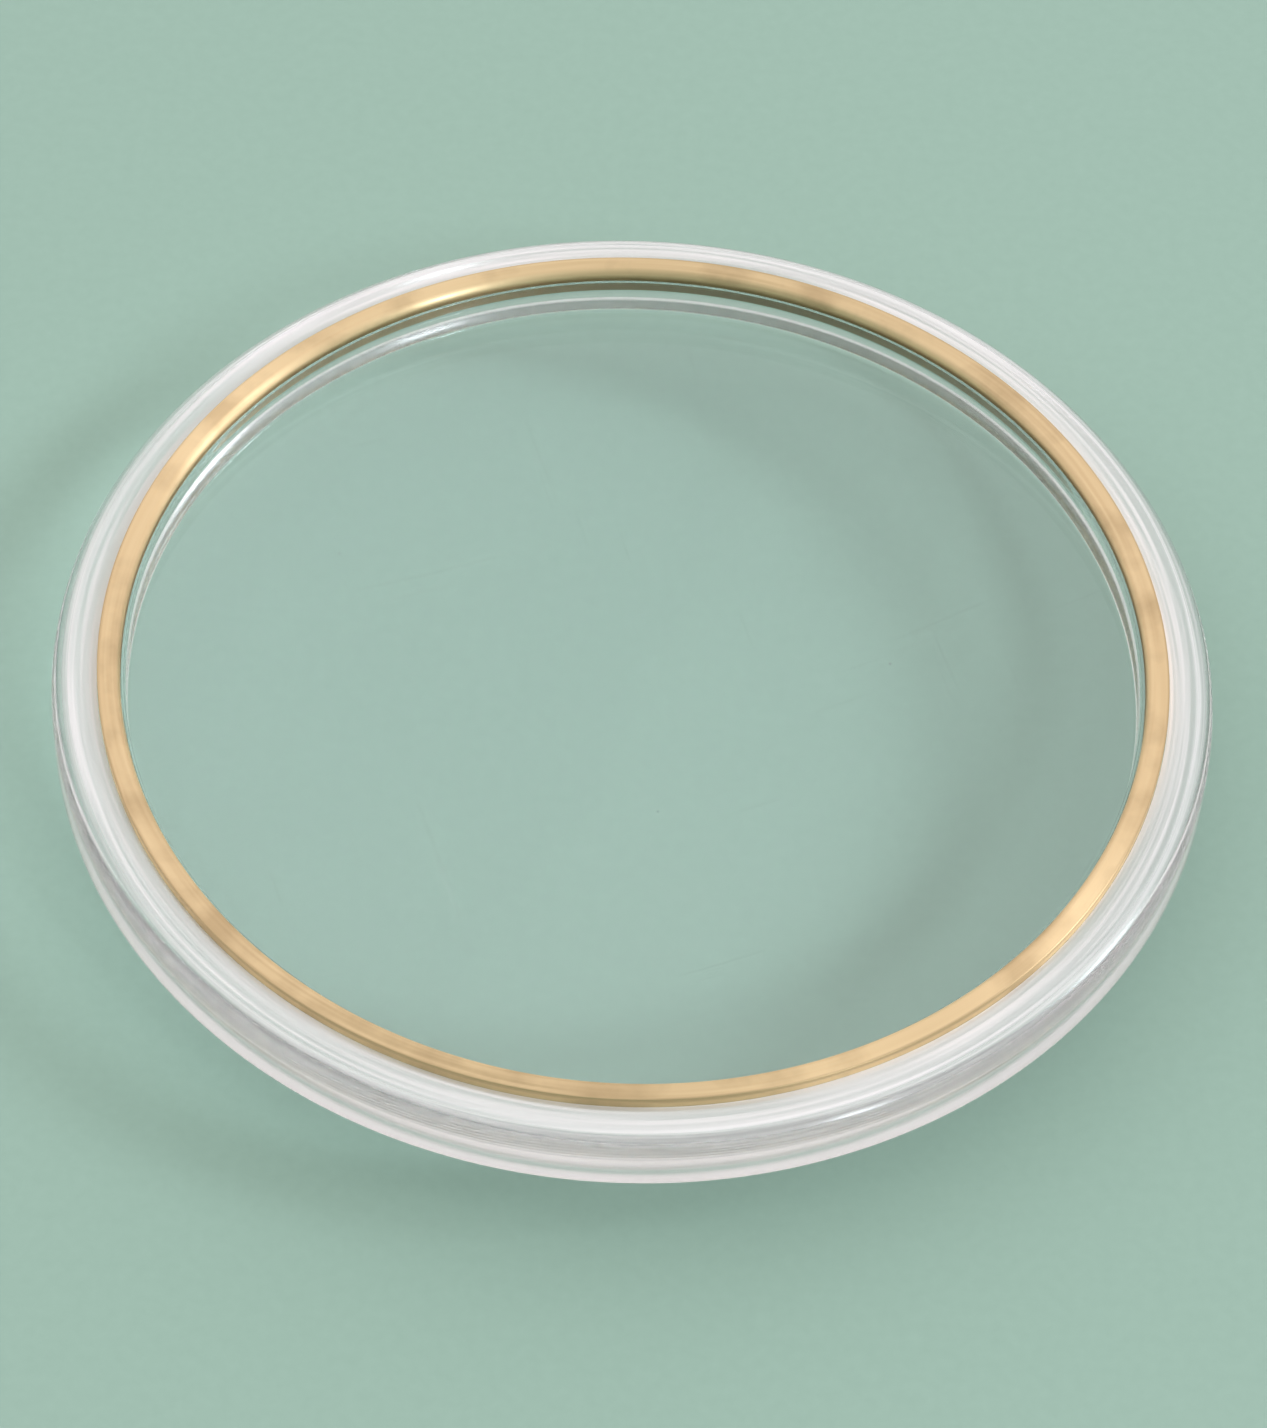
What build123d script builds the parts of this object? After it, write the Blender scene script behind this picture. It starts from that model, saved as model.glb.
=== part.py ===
from build123d import *
import math
import os

# Domed acrylic watch crystal with a brass tension ring pressed into its skirt.
# Millimetres. It lies dome down, as a shallow dish: the apex of the dome touches the surface at
# the origin, +Z is the axis of symmetry, and the end face that seats in the watch case is on top.

# Crystal
crystal_diameter = 31.0  # over the skirt, the size that a bezel takes
crystal_height = 3.7  # apex of the dome to the flat end face of the skirt
skirt_height = 1.7  # end face down to where the dome would meet the skirt if nothing were rounded
dome_thickness = 1.07  # acrylic between the outer and the inner sphere
lip_radius = 0.6  # outer corner of the end face
shoulder_radius = 0.2  # outer corner between skirt and dome
rim_wall = 1.25  # acrylic left outside the ring
inner_land = 0.08  # flat acrylic left inside the ring
wall_taper = 0.07  # how far the inner wall runs in from the land down to the dish
foot_radius = 0.1  # hollow corner where the inner wall meets the dish

# Tension ring
ring_width = 0.6  # radial width of its section
ring_height = 0.7  # height of its section
ring_proud = 0.3  # how far it stands out of the end face
ring_brow_radius = 0.22  # inner top corner, rounded by polishing
ring_edge_radius = 0.04  # its other corners
ring_press = 0.01  # how much larger the ring is than the outer wall of its groove, on the radius
ring_inner_gap = 0.02  # room between the ring and the inner wall of its groove

# Most of a wall that the rounding of its corner may take
corner_share = 0.9

# Worked out from the sizes above
crystal_radius = crystal_diameter / 2
groove_outer_radius = crystal_radius - rim_wall
ring_outer_radius = groove_outer_radius + ring_press
ring_inner_radius = ring_outer_radius - ring_width
groove_inner_radius = ring_inner_radius - ring_inner_gap
groove_depth = ring_height - ring_proud
groove_floor_z = crystal_height - groove_depth
ring_top_z = groove_floor_z + ring_height
land_inner_radius = groove_inner_radius - inner_land
crease_radius = land_inner_radius - wall_taper
shoulder_z = crystal_height - skirt_height
outer_sphere_radius = (crystal_radius**2 + shoulder_z**2) / (shoulder_z + shoulder_z)
inner_sphere_radius = outer_sphere_radius - dome_thickness
lip = min(lip_radius, rim_wall * corner_share)
shoulder = min(shoulder_radius, (skirt_height - lip) * corner_share)
brow = min(ring_brow_radius, (ring_width - ring_edge_radius) * corner_share)


def sphere_z(sphere_radius, radius):
    """Height of one of the dome's two spheres at a distance from the axis."""
    return outer_sphere_radius - math.sqrt(sphere_radius**2 - radius**2)


def rounded(section, x, z, radius):
    """Rounds the corner of a section that is nearest to a point."""
    corner = section.vertices().sort_by_distance((x, 0, z))[0]
    return fillet(corner, radius)


def turned(section):
    """Turns half a section, drawn in X and Z, into a solid."""
    return revolve(section, axis=Axis.Z, revolution_arc=360)


def make_crystal():
    """Dome and skirt, with the groove for the ring and the steep wall inside it."""
    crease_z = sphere_z(inner_sphere_radius, crease_radius)
    outer_middle = crystal_radius / 2
    inner_middle = crease_radius / 2
    with BuildSketch(Plane.XZ) as sketch:
        with BuildLine():
            ThreePointArc(
                (0, 0),
                (outer_middle, sphere_z(outer_sphere_radius, outer_middle)),
                (crystal_radius, shoulder_z),
            )
            Polyline(
                (crystal_radius, shoulder_z),
                (crystal_radius, crystal_height),
                (groove_outer_radius, crystal_height),
                (groove_outer_radius, groove_floor_z),
                (groove_inner_radius, groove_floor_z),
                (groove_inner_radius, crystal_height),
                (land_inner_radius, crystal_height),
                (crease_radius, crease_z),
            )
            ThreePointArc(
                (crease_radius, crease_z),
                (inner_middle, sphere_z(inner_sphere_radius, inner_middle)),
                (0, dome_thickness),
            )
            Line((0, dome_thickness), (0, 0))
        make_face()
    section = rounded(sketch.sketch, crystal_radius, crystal_height, lip)
    section = rounded(section, crystal_radius, shoulder_z, shoulder)
    section = rounded(section, crease_radius, crease_z, foot_radius)
    return turned(section)


def make_tension_ring():
    """Ring of tall oblong section that fills the groove and stands out of the end face."""
    with BuildSketch(Plane.XZ) as sketch:
        with BuildLine():
            Polyline(
                (ring_inner_radius, groove_floor_z),
                (ring_outer_radius, groove_floor_z),
                (ring_outer_radius, ring_top_z),
                (ring_inner_radius, ring_top_z),
                close=True,
            )
        make_face()
    section = rounded(sketch.sketch, ring_inner_radius, ring_top_z, brow)
    section = rounded(section, ring_outer_radius, ring_top_z, ring_edge_radius)
    section = rounded(section, ring_outer_radius, groove_floor_z, ring_edge_radius)
    section = rounded(section, ring_inner_radius, groove_floor_z, ring_edge_radius)
    return turned(section)


def main():
    os.makedirs("parts", exist_ok=True)
    pieces = {"crystal": make_crystal(), "tension_ring": make_tension_ring()}
    for name, solid in pieces.items():
        export_step(solid, f"parts/{name}.step")
        print(name, "volume in cubic mm", round(solid.volume, 3))


main()
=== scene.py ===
import math
import bmesh
import bpy
from mathutils import Matrix, Vector


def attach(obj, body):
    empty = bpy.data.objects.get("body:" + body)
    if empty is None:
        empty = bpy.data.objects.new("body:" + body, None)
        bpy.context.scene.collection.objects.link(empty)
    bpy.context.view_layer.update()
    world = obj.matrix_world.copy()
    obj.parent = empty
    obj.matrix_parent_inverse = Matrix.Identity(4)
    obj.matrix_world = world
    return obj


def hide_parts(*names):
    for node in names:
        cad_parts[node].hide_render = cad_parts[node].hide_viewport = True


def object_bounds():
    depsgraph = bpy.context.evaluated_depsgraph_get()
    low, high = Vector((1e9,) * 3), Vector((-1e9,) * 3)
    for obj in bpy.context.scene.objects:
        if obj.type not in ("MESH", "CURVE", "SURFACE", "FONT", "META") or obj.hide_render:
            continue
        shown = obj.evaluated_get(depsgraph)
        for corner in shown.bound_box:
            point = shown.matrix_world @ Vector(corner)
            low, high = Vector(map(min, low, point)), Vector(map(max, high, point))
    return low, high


# Domed acrylic watch crystal with a brass tension ring, lying dome down on a pale surface.
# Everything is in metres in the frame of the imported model; sizes below are in millimetres.

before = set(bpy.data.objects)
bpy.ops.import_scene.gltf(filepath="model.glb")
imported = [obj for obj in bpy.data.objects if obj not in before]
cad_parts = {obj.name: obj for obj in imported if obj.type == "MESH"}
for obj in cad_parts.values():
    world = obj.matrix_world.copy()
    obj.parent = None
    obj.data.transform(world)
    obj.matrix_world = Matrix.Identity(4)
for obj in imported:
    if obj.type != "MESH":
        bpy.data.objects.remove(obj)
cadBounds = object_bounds()
mm = 0.001
print("frame loaded")


def toLinear(hexColour):
    parts = [int(hexColour[i:i + 2], 16) / 255 for i in (0, 2, 4)]
    return tuple(c / 12.92 if c <= 0.04045 else ((c + 0.055) / 1.055) ** 2.4 for c in parts) + (1.0,)


def addNode(tree, kind, settings=None, links=None):
    node = tree.nodes.new(kind)
    for key, value in (settings or {}).items():
        if isinstance(key, int) or key in node.inputs:
            node.inputs[key].default_value = value
        else:
            setattr(node, key, value)
    for key, source in (links or {}).items():
        tree.links.new(source, node.inputs[key])
    return node


def newMaterial(name):
    material = bpy.data.materials.new(name)
    material.use_nodes = True
    tree = material.node_tree
    tree.nodes.clear()
    return material, tree, addNode(tree, "ShaderNodeOutputMaterial")


def placeInMm(tree):
    place = addNode(tree, "ShaderNodeTexCoord")
    return addNode(tree, "ShaderNodeVectorMath", {"operation": "SCALE", "Scale": 1 / mm}, {0: place.outputs["Object"]})


def turnedGrain(tree, inMm, spacing, length):
    # Noise that is thin across the tool's rings, by the map, and long round them, by place
    turned = addNode(tree, "ShaderNodeUVMap", {"uv_map": "turning"})
    along = addNode(tree, "ShaderNodeSeparateXYZ", None, {0: turned.outputs[0]})
    flat = addNode(tree, "ShaderNodeVectorMath", {"operation": "MULTIPLY", 1: (1.0, 1.0, 0.0)}, {0: inMm.outputs[0]})
    radius = addNode(tree, "ShaderNodeVectorMath", {"operation": "LENGTH"}, {0: flat.outputs[0]})
    runs = addNode(tree, "ShaderNodeVectorMath", {"operation": "SCALE", "Scale": 1 / length}, {0: flat.outputs[0]})
    thin = addNode(tree, "ShaderNodeMath", {"operation": "MULTIPLY", 1: 1 / spacing}, {0: along.outputs[1]})
    up = addNode(tree, "ShaderNodeCombineXYZ", None, {2: thin.outputs[0]})
    lines = addNode(tree, "ShaderNodeVectorMath", {"operation": "ADD"}, {0: runs.outputs[0], 1: up.outputs[0]})
    grain = addNode(tree, "ShaderNodeTexNoise", {"Scale": 1.0, "Detail": 2.0}, {"Vector": lines.outputs[0]})
    return grain, radius


def turnedSurface(tree, grain, depth):
    bump = addNode(tree, "ShaderNodeBump", {"Strength": 1.0, "Distance": depth * mm}, {"Height": grain.outputs[0]})
    tangent = addNode(tree, "ShaderNodeTangent", {"direction_type": "RADIAL", "axis": "Z"})
    return bump, tangent


def finishClear(tree, out, glass, shade):
    # Lamps light what lies behind the clear acrylic
    ray = addNode(tree, "ShaderNodeLightPath")
    through = addNode(tree, "ShaderNodeBsdfTransparent", {"Color": toLinear(shade)})
    mix = addNode(tree, "ShaderNodeMixShader", None, {
        0: ray.outputs["Is Shadow Ray"], 1: glass.outputs[0], 2: through.outputs[0],
    })
    tree.links.new(mix.outputs[0], out.inputs["Surface"])


# Camera, where the photo was taken from

photo = {
    "width": 1267,  # pixels
    "height": 1428,
    "ringCentreX": 634.5,  # where the middle of the ring's face lies in the photo
    "ringCentreY": 654.1,
    "pixelsPerMm": 37.58,  # at the ring's face
    "elevation": 51.6,  # degrees
    "roll": 2.8,
    "distance": 150.0,  # mm
    "sensor": 36.0,
    "clipStart": 7.5,
}


def makeCamera():
    lowest, highest = cadBounds
    elevation = math.radians(photo["elevation"])
    back = Vector((0, -math.cos(elevation), math.sin(elevation)))
    focal = photo["pixelsPerMm"] * photo["distance"]
    down = math.atan((photo["height"] / 2 - photo["ringCentreY"]) / focal)
    aside = math.atan((photo["ringCentreX"] - photo["width"] / 2) / focal)
    data = bpy.data.cameras.new("photoCamera")
    data.sensor_width = photo["sensor"]
    data.lens = focal / photo["height"] * photo["sensor"]
    data.clip_start = photo["clipStart"] * mm
    camera = bpy.data.objects.new("photoCamera", data)
    bpy.context.scene.collection.objects.link(camera)
    aim = back.to_track_quat("Z", "Y").to_matrix().to_4x4()
    aim = aim @ Matrix.Rotation(math.radians(photo["roll"]), 4, "Z")
    aim = aim @ Matrix.Rotation(-down, 4, "X") @ Matrix.Rotation(aside, 4, "Y")
    place = Vector((0, 0, highest.z)) + back * photo["distance"] * mm
    camera.matrix_world = Matrix.Translation(place) @ aim
    bpy.context.scene.camera = camera


makeCamera()
print("camera placed")


# Crystal and ring, turned on a lathe from their half sections

crystalSizes = {
    "diameter": 31.0,
    "height": 3.7,  # apex to end face
    "skirt": 1.7,
    "thickness": 1.07,
    "lip": 0.6,
    "shoulder": 0.2,
    "rimWall": 1.25,
    "land": 0.08,
    "taper": 0.07,  # the inner wall's run from the land to the dish
    "foot": 0.1,  # hollow corner between inner wall and dish
    "edge": 0.02,  # fine break on the other edges
}
ringSizes = {
    "width": 0.6,
    "height": 0.7,
    "proud": 0.3,
    "brow": 0.22,
    "edge": 0.04,
    "press": 0.01,
    "innerGap": 0.02,
}
turning = {
    "turns": 720,  # faces round the axis
    "domeStep": 0.5,  # mm along the dome
    "arcStep": 7.0,  # degrees on a rounding
    "sharpTurn": 28.0,  # degrees between faces past which an edge stays sharp
}


def roundCorner(points, index, radius, zone=None):
    corner = Vector(points[index][:2])
    before = (Vector(points[index - 1][:2]) - corner).normalized()
    after = (Vector(points[(index + 1) % len(points)][:2]) - corner).normalized()
    half = before.angle(after) / 2
    start = corner + before * (radius / math.tan(half))
    centre = corner + (before + after).normalized() * (radius / math.sin(half))
    first = start - centre
    last = corner + after * (radius / math.tan(half)) - centre
    swing = math.atan2(first.x * last.y - first.y * last.x, first.dot(last))
    steps = max(2, round(abs(math.degrees(swing)) / turning["arcStep"]))
    arc = []
    for i in range(steps + 1):
        spun = Matrix.Rotation(swing * i / steps, 2) @ first
        arc.append((*(centre + spun), zone if zone and i < steps else points[index][2]))
    return points[:index] + arc + points[index + 1:]


def crystalSection():
    c, r = crystalSizes, ringSizes
    radius = c["diameter"] / 2
    grooveOut = radius - c["rimWall"]
    grooveIn = grooveOut + r["press"] - r["width"] - r["innerGap"]
    grooveFloor = c["height"] - r["height"] + r["proud"]
    landIn = grooveIn - c["land"]
    crease = landIn - c["taper"]
    shoulderZ = c["height"] - c["skirt"]
    outer = (radius ** 2 + shoulderZ ** 2) / (2 * shoulderZ)
    inner = outer - c["thickness"]

    def onSphere(ball, distance):
        return outer - math.sqrt(ball ** 2 - distance ** 2)

    stepsOut = round(radius / turning["domeStep"])
    stepsIn = round(crease / turning["domeStep"])
    points = [(radius * i / stepsOut, onSphere(outer, radius * i / stepsOut), "dome") for i in range(stepsOut)]
    shoulderAt = len(points)
    points += [
        (radius, shoulderZ, "wall"),
        (radius, c["height"], "face"),
        (grooveOut, c["height"], "groove"),
        (grooveOut, grooveFloor, "groove"),
        (grooveIn, grooveFloor, "groove"),
        (grooveIn, c["height"], "land"),
        (landIn, c["height"], "innerWall"),
    ]
    creaseAt = len(points)
    points += [(crease * i / stepsIn, onSphere(inner, crease * i / stepsIn), "dish") for i in range(stepsIn, -1, -1)]
    points = roundCorner(points, creaseAt, c["foot"])
    points = roundCorner(points, shoulderAt + 6, c["edge"])
    points = roundCorner(points, shoulderAt + 5, c["edge"])
    points = roundCorner(points, shoulderAt + 2, c["edge"])
    points = roundCorner(points, shoulderAt + 1, c["lip"], "lip")
    points = roundCorner(points, shoulderAt, c["shoulder"])
    return [p for i, p in enumerate(points) if i >= shoulderAt or p[0] < points[shoulderAt][0]]


def ringSection():
    c, r = crystalSizes, ringSizes
    outer = c["diameter"] / 2 - c["rimWall"] + r["press"]
    floor = c["height"] - r["height"] + r["proud"]
    top = floor + r["height"]
    points = [
        (outer, floor, "ring"),
        (outer, top, "ring"),
        (outer - r["width"], top, "ring"),
        (outer - r["width"], floor, "ring"),
    ]
    for index, radius in ((3, r["edge"]), (2, r["brow"]), (1, r["edge"]), (0, r["edge"])):
        points = roundCorner(points, index, radius)
    return points


def turnedPiece(name, section, materials):
    # The map's u runs round the axis and its v along the section, both in millimetres
    mesh = bmesh.new()
    uvLayer = mesh.loops.layers.uv.new("turning")
    turns = turning["turns"]
    closed = section[0][0] > 0
    count = len(section)
    pairs = count if closed else count - 1
    along = [0.0]
    for i in range(pairs):
        a, b = section[i], section[(i + 1) % count]
        along.append(along[-1] + math.hypot(b[0] - a[0], b[1] - a[1]))
    poles = {j: mesh.verts.new((0, 0, p[1] * mm)) for j, p in enumerate(section) if p[0] <= 0}
    rows = []
    for s in range(turns):
        angle = 2 * math.pi * s / turns
        x, y = math.cos(angle) * mm, math.sin(angle) * mm
        row = [poles.get(j) or mesh.verts.new((p[0] * x, p[0] * y, p[1] * mm)) for j, p in enumerate(section)]
        rows.append(row)
    zoneSlots = {zone: slotNumber for slotNumber, (_, zones) in enumerate(materials) for zone in zones}
    sharp = math.radians(turning["sharpTurn"])
    directions = []
    for i in range(pairs):
        a, b = section[i], section[(i + 1) % count]
        directions.append(Vector((b[0] - a[0], b[1] - a[1])))
    for s in range(turns):
        here, there = rows[s], rows[(s + 1) % turns]
        for j in range(pairs):
            k = (j + 1) % count
            corners = [(here[j], s, along[j]), (there[j], s + 1, along[j])]
            corners += [(there[k], s + 1, along[j + 1]), (here[k], s, along[j + 1])]
            kept = [c for i, c in enumerate(corners) if c[0] not in [d[0] for d in corners[:i]]]
            face = mesh.faces.new([c[0] for c in kept])
            face.smooth = True
            face.material_index = zoneSlots[section[j][2]]
            reach = crystalSizes["diameter"] * math.pi / turns
            for loop, c in zip(face.loops, kept):
                loop[uvLayer].uv = (c[1] * reach, c[2])
    for s in range(turns):
        for j in range(count):
            if not closed and j in (0, count - 1):
                continue
            if directions[j - 1].angle(directions[j % pairs]) > sharp:
                edge = mesh.edges.get((rows[s][j], rows[(s + 1) % turns][j]))
                edge.smooth = False
    bmesh.ops.recalc_face_normals(mesh, faces=mesh.faces)
    data = bpy.data.meshes.new(name)
    mesh.to_mesh(data)
    mesh.free()
    for material, _ in materials:
        data.materials.append(material)
    piece = bpy.data.objects.new(name, data)
    bpy.context.scene.collection.objects.link(piece)
    return piece


# Cast acrylic (PMMA), polished: clear, with a trace of veil, faint hairlines and some dust

polishedAcrylic = {
    "ior": 1.49,
    "clear": 0.992,  # the rest is the pale veil
    "veilColour": "F4F7F6",
    "roughLow": 0.0,
    "roughHigh": 0.015,
    "smearSize": 6.0,  # mm, worn and touched patches
    "smearNoise": (0.5, 0.75),  # noise over which they come in
    "hairTurns": (0.4, 1.9),  # radians, the two ways that hairlines run
    "hairWide": 0.2,  # mm, wider than real ones so that they show
    "hairLong": 6.0,  # mm
    "hairNoise": (0.74, 0.77),  # noise over which a hairline comes in
    "hairHaze": 0.025,
    "dustApart": 3.2,  # mm between specks
    "dustSize": 0.05,  # mm
    "dustHaze": 0.5,
    "shade": "FFFFFF",  # lamp light that it lets through
}


def makePolishedAcrylic():
    p = polishedAcrylic
    material, tree, out = newMaterial("castAcrylicPolished")
    inMm = placeInMm(tree)
    smear = addNode(tree, "ShaderNodeTexNoise", {
        "Scale": 1 / p["smearSize"], "Detail": 4.0,
    }, {"Vector": inMm.outputs[0]})
    rough = addNode(tree, "ShaderNodeMapRange", {
        "From Min": p["smearNoise"][0], "From Max": p["smearNoise"][1],
        "To Min": p["roughLow"], "To Max": p["roughHigh"],
    }, {"Value": smear.outputs[0]})
    specks = addNode(tree, "ShaderNodeTexVoronoi", {"Scale": 1 / p["dustApart"]}, {"Vector": inMm.outputs[0]})
    marks = addNode(tree, "ShaderNodeMapRange", {
        "From Min": p["dustSize"] / p["dustApart"], "From Max": 0.0, "To Max": p["dustHaze"],
    }, {"Value": specks.outputs["Distance"]})
    for turn in p["hairTurns"]:
        run = addNode(tree, "ShaderNodeMapping", {
            "vector_type": "TEXTURE",
            "Rotation": (0.0, 0.0, turn), "Scale": (p["hairLong"], p["hairWide"], p["hairLong"]),
        }, {"Vector": inMm.outputs[0]})
        waves = addNode(tree, "ShaderNodeTexNoise", {"Scale": 1.0, "Detail": 1.0}, {"Vector": run.outputs[0]})
        hair = addNode(tree, "ShaderNodeMapRange", {
            "From Min": p["hairNoise"][0], "From Max": p["hairNoise"][1], "To Max": p["hairHaze"],
        }, {"Value": waves.outputs[0]})
        marks = addNode(tree, "ShaderNodeMath", {"operation": "MAXIMUM"}, {0: marks.outputs[0], 1: hair.outputs[0]})
    clear = addNode(tree, "ShaderNodeMath", {"operation": "SUBTRACT", 0: p["clear"]}, {1: marks.outputs[0]})
    glass = addNode(tree, "ShaderNodeBsdfPrincipled", {
        "Base Color": toLinear(p["veilColour"]),
        "IOR": p["ior"],
    }, {"Transmission Weight": clear.outputs[0], "Roughness": rough.outputs[0]})
    finishClear(tree, out, glass, p["shade"])
    return material


# The same acrylic as the lathe tool left it on the rim: whitish with fine rings on the end face, clearer down the lip

turnedAcrylic = {
    "ior": 1.49,
    "colour": "FCF3F5",
    "hazeFace": 0.68,  # share that scatters on the end face
    "hazeLip": 0.08,
    "fade": (0.05, 0.55),  # mm out from where the lip starts to turn down, over which the haze fades
    "hazeVary": 0.45,  # how much the tool rings change it
    "hazeNoise": (0.3, 0.7),  # from their least to their most
    "roughFace": 0.32,
    "roughLip": 0.08,
    "across": 0.8,  # how much more the rings scatter across than along themselves
    "acrossTurn": 0.25,  # a quarter turn from the rings
    "shade": "D2D2D2",  # lamp light that the haze lets through
    "ringSpacing": 0.11,  # mm between tool rings, coarser than the real ones so that they show
    "ringLength": 9.0,  # mm that a ring runs before it fades
    "ringDepth": 0.0005,  # mm
}


def makeTurnedAcrylic():
    p = turnedAcrylic
    material, tree, out = newMaterial("acrylicTurned")
    inMm = placeInMm(tree)
    grain, radius = turnedGrain(tree, inMm, p["ringSpacing"], p["ringLength"])
    lipStart = crystalSizes["diameter"] / 2 - crystalSizes["lip"]
    haze = addNode(tree, "ShaderNodeMapRange", {
        "interpolation_type": "SMOOTHSTEP",
        "From Min": lipStart + p["fade"][0], "From Max": lipStart + p["fade"][1],
        "To Min": p["hazeFace"], "To Max": p["hazeLip"],
    }, {"Value": radius.outputs["Value"]})
    vary = addNode(tree, "ShaderNodeMapRange", {
        "From Min": p["hazeNoise"][0], "From Max": p["hazeNoise"][1],
        "To Min": 1 - p["hazeVary"], "To Max": 1 + p["hazeVary"],
    }, {"Value": grain.outputs[0]})
    varied = addNode(tree, "ShaderNodeMath", {"operation": "MULTIPLY"}, {0: haze.outputs[0], 1: vary.outputs[0]})
    clear = addNode(tree, "ShaderNodeMath", {"operation": "SUBTRACT", 0: 1.0}, {1: varied.outputs[0]})
    rough = addNode(tree, "ShaderNodeMapRange", {
        "From Min": lipStart + p["fade"][0], "From Max": lipStart + p["fade"][1],
        "To Min": p["roughFace"], "To Max": p["roughLip"],
    }, {"Value": radius.outputs["Value"]})
    bump, tangent = turnedSurface(tree, grain, p["ringDepth"])
    glass = addNode(tree, "ShaderNodeBsdfPrincipled", {
        "Base Color": toLinear(p["colour"]),
        "IOR": p["ior"],
        "Anisotropic": p["across"],
        "Anisotropic Rotation": p["acrossTurn"],
    }, {
        "Transmission Weight": clear.outputs[0], "Roughness": rough.outputs[0],
        "Normal": bump.outputs[0], "Tangent": tangent.outputs[0],
    })
    finishClear(tree, out, glass, p["shade"])
    return material


# Brass, turned: a warm satin gold with a sheen across the tool's rings, mottled brown where it has tarnished, with
# painted shade darkening its outer top edge and the inner wall below the brow

turnedBrass = {
    "gold": "F5D6AA",
    # dark colour for both the tarnish patches and the painted shade
    "tarnishAndShadeColour": "96744F",
    "tarnishSize": 2.2,  # mm
    "tarnishMost": 0.34,
    "tarnishNoise": (0.46, 0.66),  # noise over which it comes in
    # mm in from the outer wall and mm below the top, each from and to, and how dark the painted shade gets
    "paintedShadePlaces": (
        (0.08, 0.02, 0.16, 0.08, 0.35),  # painted shade along the outer top edge, where the ring meets the acrylic
        (0.31, 0.41, 0.12, 0.26, 0.8),  # painted shade on the inner wall below the brow
    ),
    "roughLow": 0.36,
    "roughHigh": 0.52,
    "roughNoise": (0.35, 0.65),  # from the smoothest to the roughest ring
    "across": 0.88,  # how much more the rings scatter across than along themselves
    "acrossTurn": 0.25,  # a quarter turn from the rings
    "ringSpacing": 0.08,  # mm, coarser than the real ones so that they show
    "ringLength": 5.0,  # mm that a ring runs before it fades
    "ringDepth": 0.001,  # mm
}


def makeTurnedBrass():
    p = turnedBrass
    material, tree, out = newMaterial("brassTurned")
    inMm = placeInMm(tree)
    height = addNode(tree, "ShaderNodeSeparateXYZ", None, {0: inMm.outputs[0]})
    grain, radius = turnedGrain(tree, inMm, p["ringSpacing"], p["ringLength"])
    patches = addNode(tree, "ShaderNodeTexNoise", {
        "Scale": 1 / p["tarnishSize"], "Detail": 4.0,
    }, {"Vector": inMm.outputs[0]})
    tarnishAndShade = addNode(tree, "ShaderNodeMapRange", {
        "From Min": p["tarnishNoise"][0], "From Max": p["tarnishNoise"][1], "To Max": p["tarnishMost"],
    }, {"Value": patches.outputs[0]})
    outer = crystalSizes["diameter"] / 2 - crystalSizes["rimWall"] + ringSizes["press"]
    top = crystalSizes["height"] + ringSizes["proud"]
    # Painted shade: darken the ring in the places listed above
    for inFrom, inTo, downFrom, downTo, most in p["paintedShadePlaces"]:
        near = addNode(tree, "ShaderNodeMapRange", {
            "From Min": outer - inFrom, "From Max": outer - inTo,
        }, {"Value": radius.outputs["Value"]})
        level = addNode(tree, "ShaderNodeMapRange", {
            "From Min": top - downFrom, "From Max": top - downTo, "To Max": most,
        }, {"Value": height.outputs[2]})
        both = addNode(tree, "ShaderNodeMath", {"operation": "MULTIPLY"}, {0: near.outputs[0], 1: level.outputs[0]})
        tarnishAndShade = addNode(tree, "ShaderNodeMath", {"operation": "MAXIMUM"}, {0: tarnishAndShade.outputs[0], 1: both.outputs[0]})
    # Tarnish patches and painted shade both take the dark colour
    colour = addNode(tree, "ShaderNodeMix", {
        "data_type": "RGBA", 6: toLinear(p["gold"]), 7: toLinear(p["tarnishAndShadeColour"]),
    }, {0: tarnishAndShade.outputs[0]})
    rough = addNode(tree, "ShaderNodeMapRange", {
        "From Min": p["roughNoise"][0], "From Max": p["roughNoise"][1],
        "To Min": p["roughLow"], "To Max": p["roughHigh"],
    }, {"Value": grain.outputs[0]})
    bump, tangent = turnedSurface(tree, grain, p["ringDepth"])
    metal = addNode(tree, "ShaderNodeBsdfPrincipled", {
        "Metallic": 1.0,
        "Anisotropic": p["across"],
        "Anisotropic Rotation": p["acrossTurn"],
    }, {
        "Base Color": colour.outputs[2], "Roughness": rough.outputs[0],
        "Normal": bump.outputs[0], "Tangent": tangent.outputs[0],
    })
    tree.links.new(metal.outputs[0], out.inputs["Surface"])
    return material


def makePieces():
    polished, turned, brass = makePolishedAcrylic(), makeTurnedAcrylic(), makeTurnedBrass()
    crystal = turnedPiece("clearCrystal", crystalSection(), [
        (polished, ("dome", "dish", "innerWall", "land", "groove")),
        (turned, ("face", "lip", "wall")),
    ])
    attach(crystal, "root")
    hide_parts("crystal")
    ring = turnedPiece("goldRing", ringSection(), [(brass, ("ring",))])
    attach(ring, "root")
    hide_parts("tension_ring")


makePieces()
print("crystal and ring turned")


# Pale floor and soft light

floorLook = {
    "size": 2000.0,
    "colour": "A3BDB0",  # pale sage
    "fleck": "9CB6A9",
    "fleckSize": 0.35,  # mm
    "roughness": 0.75,
}
lightLook = {
    "bright": "FAFAF8",  # the room beyond the object
    "dim": "9DB3A8",  # the room on the camera's side
    "worldStrength": 1.0,
    "dimFrom": 0.05,
    "dimTo": -0.75,
    "bounces": 48,
    "window": "EFF8FF",
    "windowFade": (0.1, 0.5),  # share of a window's width, out from its middle, over which it dims to nothing
    # azimuth and elevation in degrees, width and height in metres at one metre, watts
    "windows": (
        (-47, 38, 0.2, 0.32, 5.6),
        (3, 33, 0.32, 0.38, 8.8),
    ),
}


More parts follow.
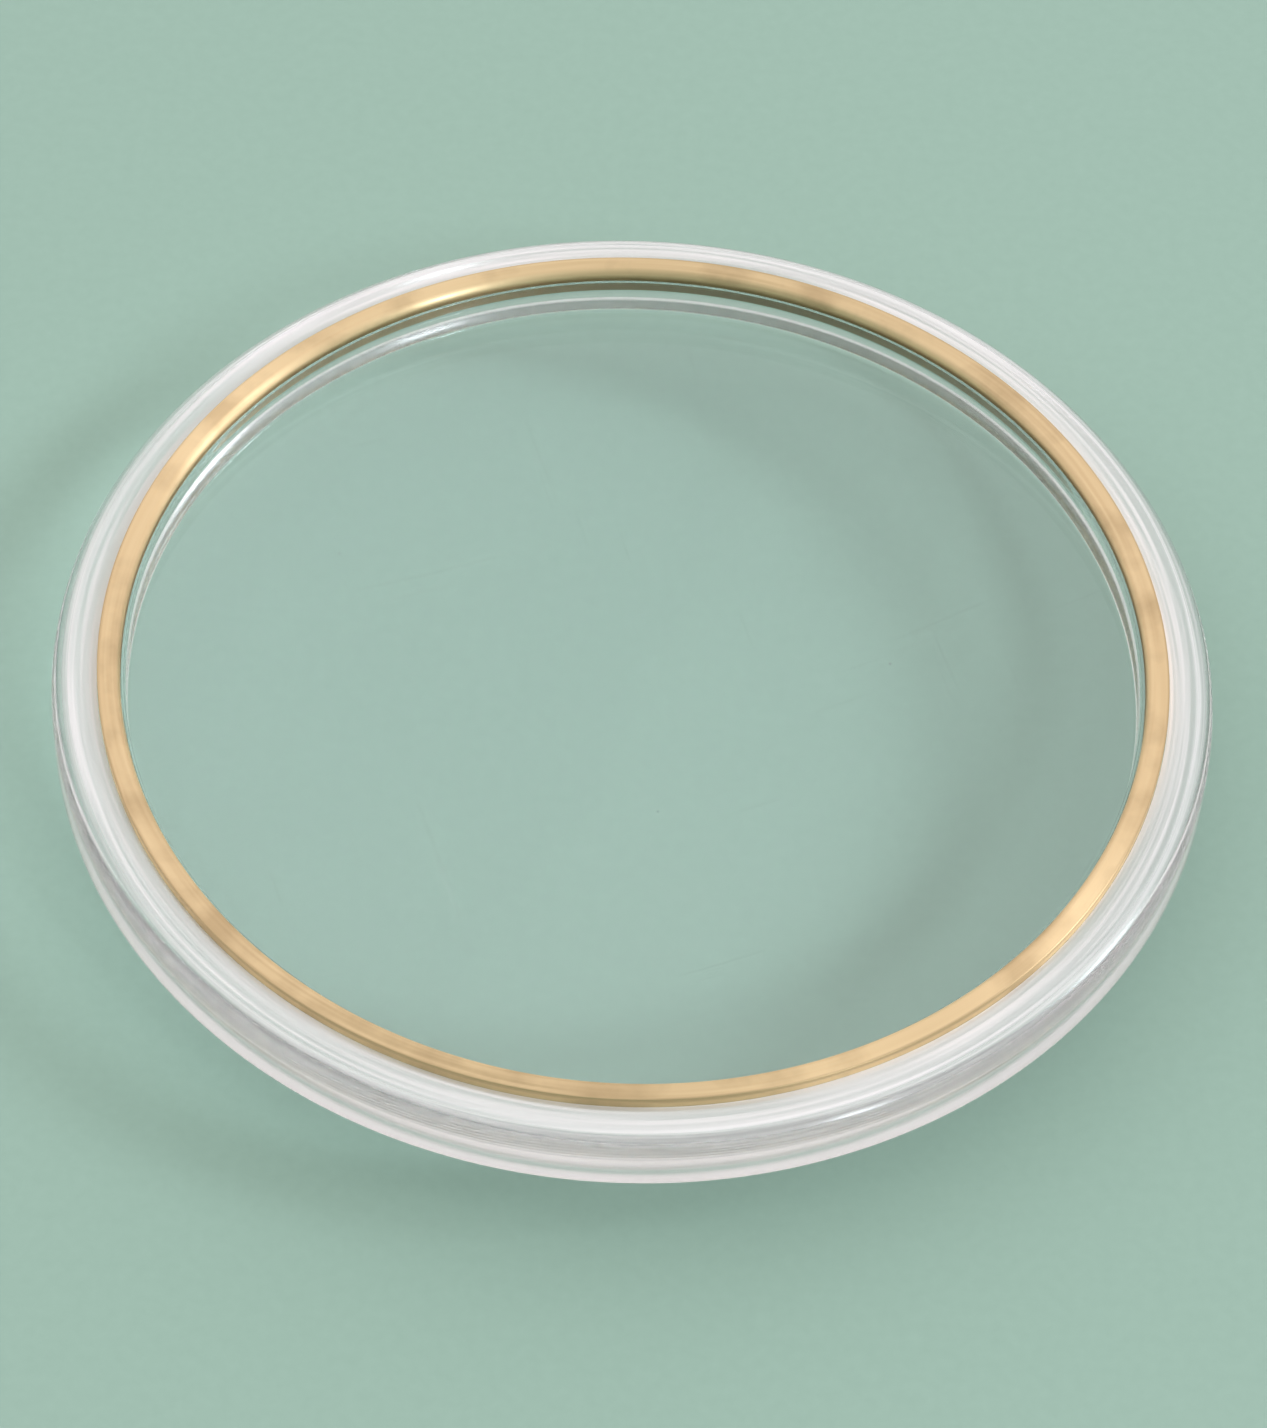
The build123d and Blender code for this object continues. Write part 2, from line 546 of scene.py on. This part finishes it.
def makeFloor():
    half = floorLook["size"] * mm / 2
    mesh = bmesh.new()
    corners = [mesh.verts.new((x * half, y * half, 0)) for x, y in ((-1, -1), (1, -1), (1, 1), (-1, 1))]
    mesh.faces.new(corners)
    data = bpy.data.meshes.new("floor")
    mesh.to_mesh(data)
    mesh.free()
    material, tree, out = newMaterial("paleMat")
    inMm = placeInMm(tree)
    fleck = addNode(tree, "ShaderNodeTexNoise", {"Scale": 1 / floorLook["fleckSize"]}, {"Vector": inMm.outputs[0]})
    colour = addNode(tree, "ShaderNodeMix", {
        "data_type": "RGBA", 6: toLinear(floorLook["colour"]), 7: toLinear(floorLook["fleck"]),
    }, {0: fleck.outputs[0]})
    mat = addNode(tree, "ShaderNodeBsdfPrincipled", {
        "Roughness": floorLook["roughness"],
    }, {"Base Color": colour.outputs[2]})
    tree.links.new(mat.outputs[0], out.inputs["Surface"])
    data.materials.append(material)
    floor = bpy.data.objects.new("floor", data)
    bpy.context.scene.collection.objects.link(floor)


def makeLights():
    for azimuth, elevation, width, height, power in lightLook["windows"]:
        a, e = math.radians(azimuth), math.radians(elevation)
        towards = Vector((math.cos(a) * math.cos(e), math.sin(a) * math.cos(e), math.sin(e)))
        data = bpy.data.lights.new("window", "AREA")
        data.shape = "RECTANGLE"
        data.size, data.size_y = width, height
        data.energy = power
        data.color = toLinear(lightLook["window"])[:3]
        # It dims towards its edges, so that its reflection is soft
        data.use_nodes = True
        data.node_tree.nodes.clear()
        tree = data.node_tree
        spot = addNode(tree, "ShaderNodeNewGeometry")
        aside = addNode(tree, "ShaderNodeVectorMath", {
            "operation": "SUBTRACT", 1: (0.5, 0.5, 0.0),
        }, {0: spot.outputs["Parametric"]})
        reach = addNode(tree, "ShaderNodeVectorMath", {"operation": "LENGTH"}, {0: aside.outputs[0]})
        glow = addNode(tree, "ShaderNodeMapRange", {
            "interpolation_type": "SMOOTHSTEP",
            "From Min": lightLook["windowFade"][0], "From Max": lightLook["windowFade"][1],
            "To Min": 1.0, "To Max": 0.0,
        }, {"Value": reach.outputs["Value"]})
        emit = addNode(tree, "ShaderNodeEmission", None, {"Strength": glow.outputs[0]})
        lampOut = addNode(tree, "ShaderNodeOutputLight")
        tree.links.new(emit.outputs[0], lampOut.inputs["Surface"])
        lamp = bpy.data.objects.new("window", data)
        bpy.context.scene.collection.objects.link(lamp)
        lamp.location = towards
        lamp.rotation_euler = towards.to_track_quat("Z", "Y").to_euler()
    world = bpy.data.worlds.new("softRoom")
    bpy.context.scene.world = world
    world.use_nodes = True
    world.node_tree.nodes.clear()
    tree = world.node_tree
    towards = addNode(tree, "ShaderNodeTexCoord")
    parts = addNode(tree, "ShaderNodeSeparateXYZ", None, {0: towards.outputs["Generated"]})
    beyond = addNode(tree, "ShaderNodeMapRange", {
        "interpolation_type": "SMOOTHSTEP", "From Min": lightLook["dimTo"], "From Max": lightLook["dimFrom"],
    }, {"Value": parts.outputs[1]})
    colour = addNode(tree, "ShaderNodeMix", {
        "data_type": "RGBA", 6: toLinear(lightLook["dim"]), 7: toLinear(lightLook["bright"]),
    }, {0: beyond.outputs[0]})
    sky = addNode(tree, "ShaderNodeBackground", {"Strength": lightLook["worldStrength"]}, {"Color": colour.outputs[2]})
    out = addNode(tree, "ShaderNodeOutputWorld")
    tree.links.new(sky.outputs[0], out.inputs["Surface"])


makeFloor()
makeLights()
bpy.context.scene.view_settings.view_transform = "Standard"
# Light is caught by total reflection in the rim many times before it leaves
bpy.context.scene.cycles.max_bounces = lightLook["bounces"]
bpy.context.scene.cycles.glossy_bounces = lightLook["bounces"]
bpy.context.scene.cycles.transmission_bounces = lightLook["bounces"]
print("floor and lights placed")
